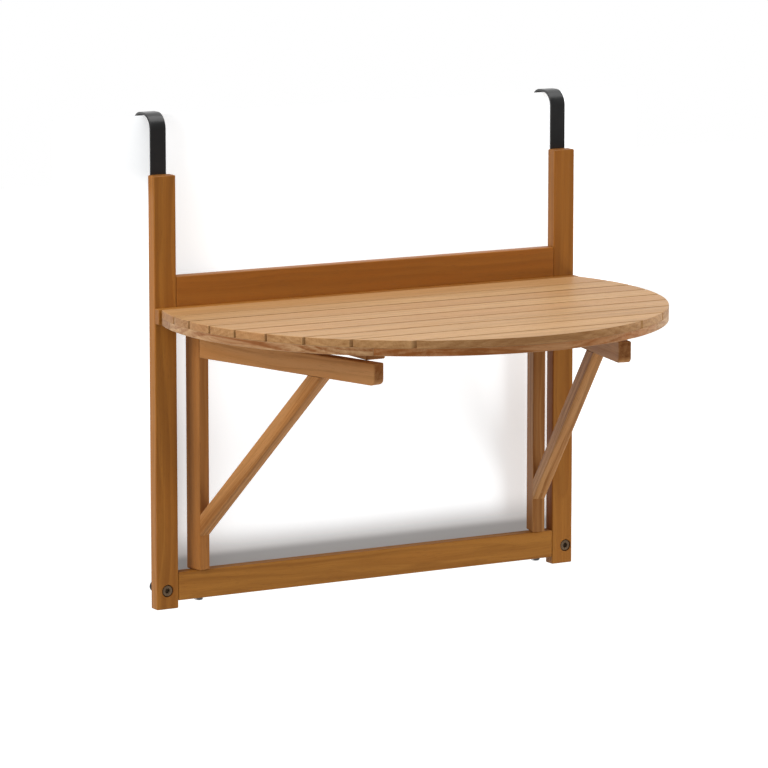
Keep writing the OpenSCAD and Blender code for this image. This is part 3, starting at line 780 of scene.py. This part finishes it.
def rim_piece(node, start, end, seed, tone, cast, painted_light_drift):
    """An arc of the ring, from one angle to another, counted from the front to the right."""
    radius = TABLE_RADIUS - RIM_WIDTH / 2
    place = Vector((0, TABLE_MIDDLE.y - radius, (rim_low.z + rim_high.z) / 2))
    bpy.ops.mesh.primitive_plane_add(size=1, location=place, rotation=(0, math.pi / 2, 0))
    piece = take_new(node + "_board", (rim_high.z - rim_low.z, RIM_WIDTH, 1))
    middle = Vector((0, TABLE_MIDDLE.y, place.z))
    turn = Matrix.Translation(middle) @ Matrix.Rotation(start, 4, "Z") @ Matrix.Translation(-middle)
    piece.data.transform(turn)
    edit_all()
    bpy.ops.mesh.spin(
        steps=round((end - start) / RIM_STEP), angle=end - start, center=middle, axis=(0, 0, -1)
    )
    bpy.ops.mesh.select_all(action="SELECT")
    bpy.ops.mesh.remove_doubles(threshold=WELD)
    cut_plane((0, rear_rail_front, 0), BACK, True)
    turn_outwards()
    ease_edges(piece, RIM_EASE, 2)
    countersink(piece, "slat_screws")
    smooth(piece)
    chord = Vector((math.cos((start + end) / 2), math.sin((start + end) / 2), 0))
    lay_grain(piece, chord, UP.cross(chord), seed, tone, RIM_TONE_SPREAD, cast=cast, painted_light_drift=painted_light_drift)
    return finish_piece(piece, TOP_BODY, rim_wood, "top_wood", node)


# The rim's tones are painted light. The right piece's very pale, grey tone and the left piece's grey cast
# paint the sheen that the side lights give the rim's ends. The drift makes the front piece paler towards its
# right end and deeper towards its left.
for row in (
    ("rim_left", -RIM_END, -RIM_SEAM, 51, 0.50, -0.2, 0.12),
    ("rim_front", -RIM_SEAM, RIM_SEAM, 52, 0.43, 0.25, -0.42),
    ("rim_right", RIM_SEAM, RIM_END, 53, 0.02, -0.3, 0.0),
):
    rim_piece(*row)

closing = disc_strip("rim_rear_rail", RIM_EASE)
countersink(closing, "slat_screws")
smooth(closing)
lay_grain(closing, RIGHT, BACK, 54, 0.5)
finish_piece(closing, TOP_BODY, rim_wood, "top_wood", "rim_rear_rail")


def batten(node, seed):
    piece = add_block(node + "_board", *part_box(node))
    ease_edges(piece, EASE)
    countersink(piece, "batten_screws")
    smooth(piece)
    lay_grain(piece, BACK, RIGHT, seed, 0.5)
    return finish_piece(piece, TOP_BODY, gate_wood, "gate_wood", node)


batten("left_batten", 61)
batten("right_batten", 62)
print("table radius:", round(TABLE_RADIUS, 4))

# %% [markdown]
# ## Gates
# Each gate is a leg, an arm and a sloping brace between them. They are modelled square to the axes,
# where cutting and measuring is easy, with the pivot at the origin and the arm along +X, and then
# turned to where the gate stands.

# %% Sizes of the gates, and the way they turn to their place
joints = {joint["name"]: joint for joint in frame["joints"]}
GATE_THICK = 15.6 * MM
LEG_WIDTH = 24 * MM
ARM_REACH = 303.5 * MM
ARM_NOSE = 7 * MM
HAIR = 0.01 * MM
BRACE_WIDTH = 18 * MM
BRACE_REACH = 206.7 * MM
BRACE_SLOPE = math.radians(45.7)
GATE_EASE = 1.5 * MM


def gate_turn(side):
    """The matrix that takes a gate from its bench, with the arm along +X, to its place in the frame."""
    joint = joints[f"{side}_gate_swing"]
    swing = math.radians(-joint["range_deg"][0])
    angle = swing - math.pi / 2 if side == "left" else -math.pi / 2 - swing
    place = Vector((joint["pos_m"][0], joint["pos_m"][1], 0))
    return Matrix.Translation(place) @ Matrix.Rotation(angle, 4, "Z")


def stand_gate_piece(piece, side, along, wide, seed, tone, node, cast=None):
    """Lays the grain, then turns a piece from the bench to its place."""
    lay_grain(piece, along, wide, seed, tone, cast=cast)
    piece.matrix_world = gate_turn(side)
    settle(piece)
    smooth(piece)
    return finish_piece(piece, f"{side}_gate", gate_wood, "gate_wood", node)


# Tones for leg, arm and brace. The right gate's deep tones, most of all its leg's, are painted shade. The
# left leg's warm cast paints the deep colour of its shaded faces, and the braces' pale tones are painted
# sheen.
GATE_TONES_AND_PAINTED_LIGHT = {"left": (0.52, 0.30, 0.0), "right": (1.05, 0.44, 0.12)}
LEG_CASTS_AND_PAINTED_SHADE = {"left": 0.6, "right": 0.0}


def gate_leg(side, seed):
    node = f"{side}_gate_leg"
    low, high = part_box(node)
    half = LEG_WIDTH / 2
    piece = add_block(node + "_board", (-half, -GATE_THICK / 2, low.z), (half, GATE_THICK / 2, high.z))
    ease_edges(piece, GATE_EASE)
    return stand_gate_piece(piece, side, UP, RIGHT, seed, GATE_TONES_AND_PAINTED_LIGHT[side][0], node, LEG_CASTS_AND_PAINTED_SHADE[side])


def gate_arm(side, seed):
    node = f"{side}_gate_arm"
    low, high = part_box(node)
    start, half = LEG_WIDTH / 2, GATE_THICK / 2
    piece = add_block(node + "_board", (start, -half, low.z), (ARM_REACH, half, high.z))
    nose, underside = ARM_REACH - HAIR, low.z + HAIR
    select_edges(piece, lambda a, b: min(a.x, b.x) > nose and max(a.z, b.z) < underside)
    bevel_selected(piece, ARM_NOSE, 8)
    ease_edges(piece, GATE_EASE)
    return stand_gate_piece(piece, side, RIGHT, UP, seed, GATE_TONES_AND_PAINTED_LIGHT[side][1], node)


def gate_brace(side, seed):
    node = f"{side}_gate_brace"
    under_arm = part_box(node)[1].z
    run = BRACE_REACH - LEG_WIDTH / 2
    foot = Vector((LEG_WIDTH / 2, 0, under_arm - run * math.tan(BRACE_SLOPE)))
    spare = 2 * BRACE_WIDTH
    length = run / math.cos(BRACE_SLOPE)
    half, tall = GATE_THICK / 2, BRACE_WIDTH / 2
    piece = add_block(node + "_board", (-spare, -half, -tall), (length + spare, half, tall))
    select_edges(piece, lambda a, b: abs(a.x - b.x) > length)
    bevel_selected(piece, GATE_EASE, 3)
    piece.matrix_world = Matrix.Translation(foot) @ Matrix.Rotation(-BRACE_SLOPE, 4, "Y")
    settle(piece)
    bpy.ops.object.mode_set(mode="EDIT")
    cut_plane(foot, -RIGHT, True)
    cut_plane((0, 0, under_arm), UP, True)
    bpy.ops.object.mode_set(mode="OBJECT")
    slope = Vector((math.cos(BRACE_SLOPE), 0, math.sin(BRACE_SLOPE)))
    return stand_gate_piece(piece, side, slope, BACK.cross(slope), seed, GATE_TONES_AND_PAINTED_LIGHT[side][2], node)


for side, seed in (("left", 70), ("right", 80)):
    for board in (gate_leg(side, seed), gate_arm(side, seed + 1), gate_brace(side, seed + 2)):
        print(board.name, len(board.data.polygons), "faces")

# %% [markdown]
# ## Hooks
# Each hook is a flat steel strip, bent twice. The strip's end is drawn as a plane, extruded up the
# post's back, spun round the first bend, extruded over the railing, spun again and extruded down.
# That is the way the strip is really bent, so its thickness stays the same all the way.

# %% Bend the hooks
STRIP = 3 * MM
BEND_OUT = 19 * MM
BACK_LEG = 62 * MM
STRIP_EDGE = 0.5 * MM
BEND_STEPS = 14
END_ROUND = 4 * MM


def hook(side):
    """A strip bent round the railing. Its front leg starts at the box's low corner."""
    node = f"{side}_hook"
    low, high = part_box(node)
    free_z, centre_z = high.z - BACK_LEG, high.z - BEND_OUT
    bpy.ops.mesh.primitive_plane_add(size=1, location=((low.x + high.x) / 2, low.y + STRIP / 2, low.z))
    piece = take_new(node + "_strip", (high.x - low.x, STRIP, 1))
    edit_all()
    bpy.ops.mesh.select_mode(type="FACE")
    extrude(0, 0, centre_z - low.z)
    bend = {"steps": BEND_STEPS, "angle": math.pi / 2, "axis": (1, 0, 0)}
    bpy.ops.mesh.spin(center=(0, low.y + BEND_OUT, centre_z), **bend)
    extrude(0, high.y - low.y - 2 * BEND_OUT, 0)
    bpy.ops.mesh.spin(center=(0, high.y - BEND_OUT, centre_z), **bend)
    extrude(0, 0, free_z - centre_z)
    bpy.ops.mesh.select_all(action="SELECT")
    bpy.ops.mesh.remove_doubles(threshold=WELD)
    turn_outwards()

    def at_corner(a, b):
        """Whether an edge runs through the strip's thickness at one of its two ends."""
        at_end = min(abs(a.z - low.z), abs(a.z - free_z)) < HAIR
        return at_end and abs(a.x - b.x) < HAIR and abs(a.z - b.z) < HAIR

    select_edges(piece, at_corner)
    bevel_selected(piece, END_ROUND, 6)
    ease_edges(piece, STRIP_EDGE, 3, 40)
    countersink(piece, "hook_screws")
    smooth(piece, 40)
    return finish_piece(piece, "frame", hook_coat, "hook_steel", node)


for side in ("left", "right"):
    strip = hook(side)
    print(strip.name, len(strip.data.polygons), "faces", [round(v, 4) for v in strip.dimensions])

# %% [markdown]
# ## Screws
# All the wood screws are one shape in two sizes: a countersunk head with a cross recess, a shank and a
# point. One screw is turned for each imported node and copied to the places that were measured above.

# %% Wood screws
def wood_screw(node):
    head, shank, length = screw_sizes(node)
    point = 2 * shank
    piece = turned(
        "screw",
        [(head - 0.15, 0), (head, 0.12), (shank, head - shank), (shank, length - point), (0.2, length)],
    )
    reach, half, depth = 0.56 * head * MM, 0.13 * head * MM, 0.42 * head * MM
    for size in ((reach, half), (half, reach)):
        cut_away(piece, add_block("recess", (-size[0], -size[1], -MM), (size[0], size[1], depth)))
    return piece


def stand_piece(pattern, node, places, body, material, slot, seed=1):
    """Copies a pattern to its places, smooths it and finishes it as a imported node."""
    piece = stand_copies(pattern, node + "_turned", places, seed)
    smooth(piece)
    return finish_piece(piece, body, material, slot, node)


for node, (_, body) in SCREWS.items():
    places = SCREW_PLACES[node]
    screws = stand_piece(wood_screw(node), node, places, body, zinc, "screw_steel", len(node))
    print(screws.name, len(places), "screws", len(screws.data.polygons), "faces")

# %% [markdown]
# ## Feet
# A socket head bolt runs through each post into a rubber cap, which keeps the posts off the railing.
# Its thread is a small tooth that is swept up a helix by the screw modifier, and capped at both ends.

# %% Foot bolts, caps and pivot bolts
PITCH = 1.25 * MM
TOOTH = ((0, 0), (1, 0.4), (0, 0.9), (1, 0.5))
THREAD_STEPS = 24
THREAD_DEPTH = 0.55
FOOT_HEAD_TALL, FOOT_SHANK, FOOT_HEX, FOOT_HEX_DEEP = 8, 4.0, 6, 4
PIVOT_HEAD_TALL, PIVOT_SHANK, PIVOT_HEX, PIVOT_HEX_DEEP = 3, 3, 4, 1.8
CAP_BORE, CAP_ROUND, CAP_FLOOR = 4.05, 1.5, 2


def thread(crest, root, start, turns):
    """A helical ridge round Z, in metres, that starts at a height."""
    bpy.ops.mesh.primitive_plane_add(size=1)
    ridge = bpy.context.object
    for point, (outer, along) in zip(ridge.data.vertices, TOOTH):
        point.co = (crest if outer else root, 0, start + along * PITCH)
    edit_all()
    bpy.ops.mesh.delete(type="ONLY_FACE")
    bpy.ops.object.mode_set(mode="OBJECT")
    bpy.ops.object.modifier_add(type="SCREW")
    sweep = ridge.modifiers[-1]
    sweep.axis = "Z"
    sweep.screw_offset = PITCH
    sweep.iterations = turns
    sweep.steps = sweep.render_steps = THREAD_STEPS
    bpy.ops.object.modifier_apply(modifier=sweep.name)
    edit_all()
    bpy.ops.mesh.fill_holes(sides=0)
    turn_outwards()
    return ridge


def hex_recess(piece, across_flats, depth):
    """Cuts a six-sided socket into a head, in millimetres."""
    radius = across_flats / math.sqrt(3) * MM
    bpy.ops.mesh.primitive_cylinder_add(vertices=6, radius=radius, depth=2 * depth * MM)
    cut_away(piece, take_new("socket"))


def foot_bolt(side):
    node = f"{side}_foot_bolt"
    low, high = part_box(node)
    head, length = (high.x - low.x) / 2 / MM, (high.y - low.y) / MM
    tall, root = FOOT_HEAD_TALL, FOOT_SHANK - THREAD_DEPTH
    face = [(head - 0.7, 0), (head - 0.2, 0.2), (head, 0.7), (head, tall)]
    bolt = turned("bolt", face + [(root, tall), (root, length - 0.5), (root - 0.5, length)], FINE_STEPS)
    hex_recess(bolt, FOOT_HEX, FOOT_HEX_DEEP)
    turns = int((length - tall - 1) * MM / PITCH) - 1
    ridge = thread(FOOT_SHANK * MM, (root - 0.1) * MM, (tall + 0.3) * MM, turns)
    make_active(bolt)
    ridge.select_set(True)
    bpy.ops.object.join()
    return stand_piece(bolt, node, FOOT_PLACES[side], f"{side}_foot", bronzed, "dark_steel")


def foot_cap(side):
    node = f"{side}_foot_cap"
    low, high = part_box(node)
    outer, length = (high.x - low.x) / 2 / MM, (high.y - low.y) / MM
    inside = [(CAP_BORE, length - CAP_FLOOR), (CAP_BORE, 0), (outer - 0.4, 0), (outer, 0.4)]
    shoulder = []
    for angle in (math.radians(step) for step in range(0, 91, 15)):
        out, up = CAP_ROUND * (1 - math.cos(angle)), CAP_ROUND * (1 - math.sin(angle))
        shoulder.append((outer - out, length - up))
    cap = turned("cap", inside + shoulder, FINE_STEPS)
    return stand_piece(cap, node, fastener_places(node, BACK), f"{side}_foot", rubber, "cap_rubber")


def pivot_bolt(side):
    node = f"{side}_lower_pivot_bolt"
    low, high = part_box(node)
    head, length = (high.x - low.x) / 2 / MM, (high.z - low.z) / MM
    tall, shank = PIVOT_HEAD_TALL, PIVOT_SHANK
    face = [(head - 1.6, 0), (head - 0.9, 0.15), (head - 0.3, 0.7), (head, 1.5), (head, tall)]
    bolt = turned("bolt", face + [(shank, tall), (shank, length)], FINE_STEPS)
    hex_recess(bolt, PIVOT_HEX, PIVOT_HEX_DEEP)
    return stand_piece(bolt, node, fastener_places(node, UP), f"{side}_gate", zinc, "screw_steel")


for side in ("left", "right"):
    for piece in (foot_bolt(side), foot_cap(side), pivot_bolt(side)):
        print(piece.name, len(piece.data.polygons), "faces")

# %% [markdown]
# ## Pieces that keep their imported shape
# Dowels, inserts, pins and hinge leaves are already right, so they only get their finish.

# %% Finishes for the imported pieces
PACKED_FINISHES = {
    zinc: ["hinge_pins", "hinge_back_leaves", "hinge_front_leaves", "left_upper_pivot", "right_upper_pivot"],
    brass: ["foot_inserts"],
    beech: ["rail_dowels", "left_gate_dowels", "right_gate_dowels"],
}
for material, nodes in PACKED_FINISHES.items():
    for node in nodes:
        for holder in frame["nodes"][node].material_slots:
            holder.material = material
print("packed pieces with a finish:", sum(len(nodes) for nodes in PACKED_FINISHES.values()))

# %% [markdown]
# ## Studio
# The picture has a white panel between the posts, which the hooks hang on, and soft light from above,
# from both sides and from low in front. The camera sees the panel, and so does the sheen of the wood,
# but it lights nothing else, and from behind it is clear. It ends behind the bottom rail.

# %% Wall and floor
WALL_Y = -2.5 * MM
WALL_LOW, WALL_HIGH = -556 * MM, -0.5 * MM
WALL_HALF = 400 * MM
FLOOR_Z = -1.0
FLOOR_SIZE = 14
FLOOR_PAINT, FLOOR_GLOW = (0.5, 0.5, 0.5), 0.85
# The panel's paint is a little blue, which cancels the warm light that the wood throws on it.
WALL_PAINT, WALL_GLOW = (0.92, 0.96, 0.99), 0.46


def stage_plane(name, place, turn, size, paint, glow):
    """A pale plane with a glow of its own, which lights nothing and can't be seen from its back."""
    bpy.ops.mesh.primitive_plane_add(size=1, location=place, rotation=turn)
    plane = take_new(name, (*size, 1))
    material = bpy.data.materials.new(name)
    plane.data.materials.append(material)
    material.use_nodes = True
    tree = material.node_tree
    tree.nodes.clear()
    matt = place_node(tree, "ShaderNodeBsdfDiffuse", {"Color": (*paint, 1)})
    shine = place_node(tree, "ShaderNodeEmission", {"Color": (1, 1, 1, 1), "Strength": glow})
    both = place_node(tree, "ShaderNodeAddShader", {0: matt.outputs[0], 1: shine.outputs[0]})
    clear = place_node(tree, "ShaderNodeBsdfTransparent")
    back = place_node(tree, "ShaderNodeNewGeometry").outputs["Backfacing"]
    mix = place_node(tree, "ShaderNodeMixShader", {0: back, 1: both.outputs[0], 2: clear.outputs[0]})
    output = place_node(tree, "ShaderNodeOutputMaterial")
    tree.links.new(mix.outputs[0], output.inputs["Surface"])
    plane.visible_diffuse = plane.visible_glossy = plane.visible_shadow = False
    return plane, tree, matt, shine


stage_plane("studio_floor", (0, 0, FLOOR_Z), (0, 0, 0), (FLOOR_SIZE, FLOOR_SIZE), FLOOR_PAINT, FLOOR_GLOW)
wall_place, wall_size = (0, WALL_Y, (WALL_LOW + WALL_HIGH) / 2), (2 * WALL_HALF, WALL_HIGH - WALL_LOW)
wall, tree, matt, shine = stage_plane(
    "studio_wall", wall_place, (math.pi / 2, 0, 0), wall_size, WALL_PAINT, WALL_GLOW
)
wall.visible_glossy = True
print("panel height:", round(WALL_HIGH - WALL_LOW, 3))

# %% [markdown]
# Behind the bottom rail the panel carries a painted shadow of the rail, which has a short step at its upper
# edge and then a long soft end. A faint painted shadow lies beside the left gate. Beyond the posts, and over
# its upper half, the panel glows brighter: painted light that keeps it white and hides the lamps' shadows
# there.
# The pairs of numbers are places on the panel, in metres, between which a shade comes or goes.

# %% Shade on the panel
SHADOW_STEP, SHADOW_END = (-0.534, -0.524), (-0.536, -0.490)
BESIDE_GATE = (-0.150, -0.252)
LEFT_OF_POST, RIGHT_OF_POST = (-0.250, -0.284), (0.272, 0.290)
BELOW_TOP_EDGE = (-0.06, -0.10)
UPPER_HALF = (-0.42, -0.28)
DARKEST, AFTER_STEP, GATE_SHADE = 0.38, 0.22, 0.24
UPPER_GLOW, OUTER_GLOW = 0.17, 0.37
PAINTED_SHADE_REFLECTION_POWER = 3.0

seen = place_node(tree, "ShaderNodeLightPath").outputs["Is Camera Ray"]
place = place_node(tree, "ShaderNodeTexCoord").outputs["Object"]
place = place_node(tree, "ShaderNodeSeparateXYZ", {0: place})
width, height = place.outputs["X"], place.outputs["Z"]
# Painted light: the panel glows brighter over its upper half and beyond the posts.
upper = ramp(tree, height, *UPPER_HALF)
outer = reckon(tree, "MULTIPLY", ramp(tree, width, *LEFT_OF_POST), ramp(tree, height, *BELOW_TOP_EDGE))
glow = reckon(tree, "MULTIPLY_ADD", upper, UPPER_GLOW, WALL_GLOW)
glow = reckon(tree, "MULTIPLY_ADD", outer, OUTER_GLOW, glow)
glow = reckon(tree, "MULTIPLY_ADD", seen, reckon(tree, "SUBTRACT", glow, 1.0), 1.0)
# Painted shadow of the bottom rail, and a faint one beside the left gate, darken the paint and the glow.
painted_shade_free = reckon(tree, "MULTIPLY_ADD", ramp(tree, height, *SHADOW_STEP), AFTER_STEP, DARKEST)
painted_shade_free = reckon(tree, "MULTIPLY_ADD", ramp(tree, height, *SHADOW_END), 1 - DARKEST - AFTER_STEP, painted_shade_free)
beside_gate = ramp(tree, width, *BESIDE_GATE)
painted_shade_free = reckon(tree, "MULTIPLY", painted_shade_free, reckon(tree, "MULTIPLY_ADD", beside_gate, -GATE_SHADE, 1.0))
painted_shade_free = reckon(tree, "MAXIMUM", painted_shade_free, reckon(tree, "MAXIMUM", outer, ramp(tree, width, *RIGHT_OF_POST)))
lit = reckon(tree, "MULTIPLY", painted_shade_free, seen)
tree.links.new(blend_colours(tree, lit, (0, 0, 0, 1), (*WALL_PAINT, 1)), matt.inputs["Color"])
# In reflections the painted shadow is raised to a higher power and so deeper. This painted reflection of
# shade darkens the bottom rail's top face.
power = reckon(tree, "MULTIPLY_ADD", seen, 1 - PAINTED_SHADE_REFLECTION_POWER, PAINTED_SHADE_REFLECTION_POWER)
glow = reckon(tree, "MULTIPLY", glow, reckon(tree, "POWER", painted_shade_free, power))
tree.links.new(glow, shine.inputs["Strength"])
print("nodes in the panel's material:", len(tree.nodes))

# %% [markdown]
# The lamps are large and soft. Only the one above is left in the mirror images, where it gives the top
# and the hooks their sheen.

# %% Lamps
def softbox(name, place, aim, width, height, power):
    lamp = bpy.data.objects.new(name, bpy.data.lights.new(name, "AREA"))
    bpy.context.scene.collection.objects.link(lamp)
    lamp.data.shape = "RECTANGLE"
    lamp.data.size, lamp.data.size_y = width, height
    lamp.data.energy = power
    lamp.location = place
    lamp.rotation_euler = (Vector(aim) - Vector(place)).to_track_quat("-Z", "Y").to_euler()
    return lamp


for row in (
    ("light_above", (0.15, -0.6, 1.7), (0, -0.15, -0.25), 2.7, 1.4, 26),
    ("light_left", (-1.5, -0.3, 0.2), (0, -0.1, -0.3), 0.8, 1.1, 14.5),
    ("light_right", (2.2, -0.4, 0.2), (0, -0.1, -0.3), 0.8, 1.4, 16),
    ("light_low", (1.3, -1.7, -1.6), (0.05, -0.1, -0.35), 1.1, 1.1, 22),
):
    lamp = softbox(*row)
    lamp.visible_glossy = lamp.name == "light_above"
    print(lamp.name, lamp.data.energy, "watts")

# %% [markdown]
# The world is white for the camera. Reflections see that white only behind the table: the room behind
# the camera is dim, which keeps the faces that look at it deep in colour, while faces seen edge on
# pick up a pale sheen.

# %% World
WORLD_FILL = 0.42
DIM_ROOM = 0.14
ROOM_TO_WHITE = (-0.35, 0.25)
world = bpy.data.worlds.new("studio_world")
world.use_nodes = True
bpy.context.scene.world = world
tree = world.node_tree
path = place_node(tree, "ShaderNodeLightPath")
direction = place_node(tree, "ShaderNodeTexCoord").outputs["Generated"]
towards_back = place_node(tree, "ShaderNodeSeparateXYZ", {0: direction}).outputs["Y"]
mirrored = reckon(tree, "MULTIPLY_ADD", ramp(tree, towards_back, *ROOM_TO_WHITE), 1 - DIM_ROOM, DIM_ROOM)
reflected = reckon(tree, "MAXIMUM", path.outputs["Is Glossy Ray"], path.outputs["Is Transmission Ray"])
strength = reckon(tree, "MULTIPLY_ADD", path.outputs["Is Camera Ray"], 1 - WORLD_FILL, WORLD_FILL)
gain = reckon(tree, "SUBTRACT", mirrored, strength)
strength = reckon(tree, "MULTIPLY_ADD", reflected, gain, strength)
tree.links.new(strength, tree.nodes["Background"].inputs["Strength"])
tree.nodes["Background"].inputs["Color"].default_value = (1, 1, 1, 1)
print("world fill:", WORLD_FILL)

# %% [markdown]
# ## Last steps
# The picture uses the plain view transform.

bpy.context.scene.view_settings.view_transform = "Standard"
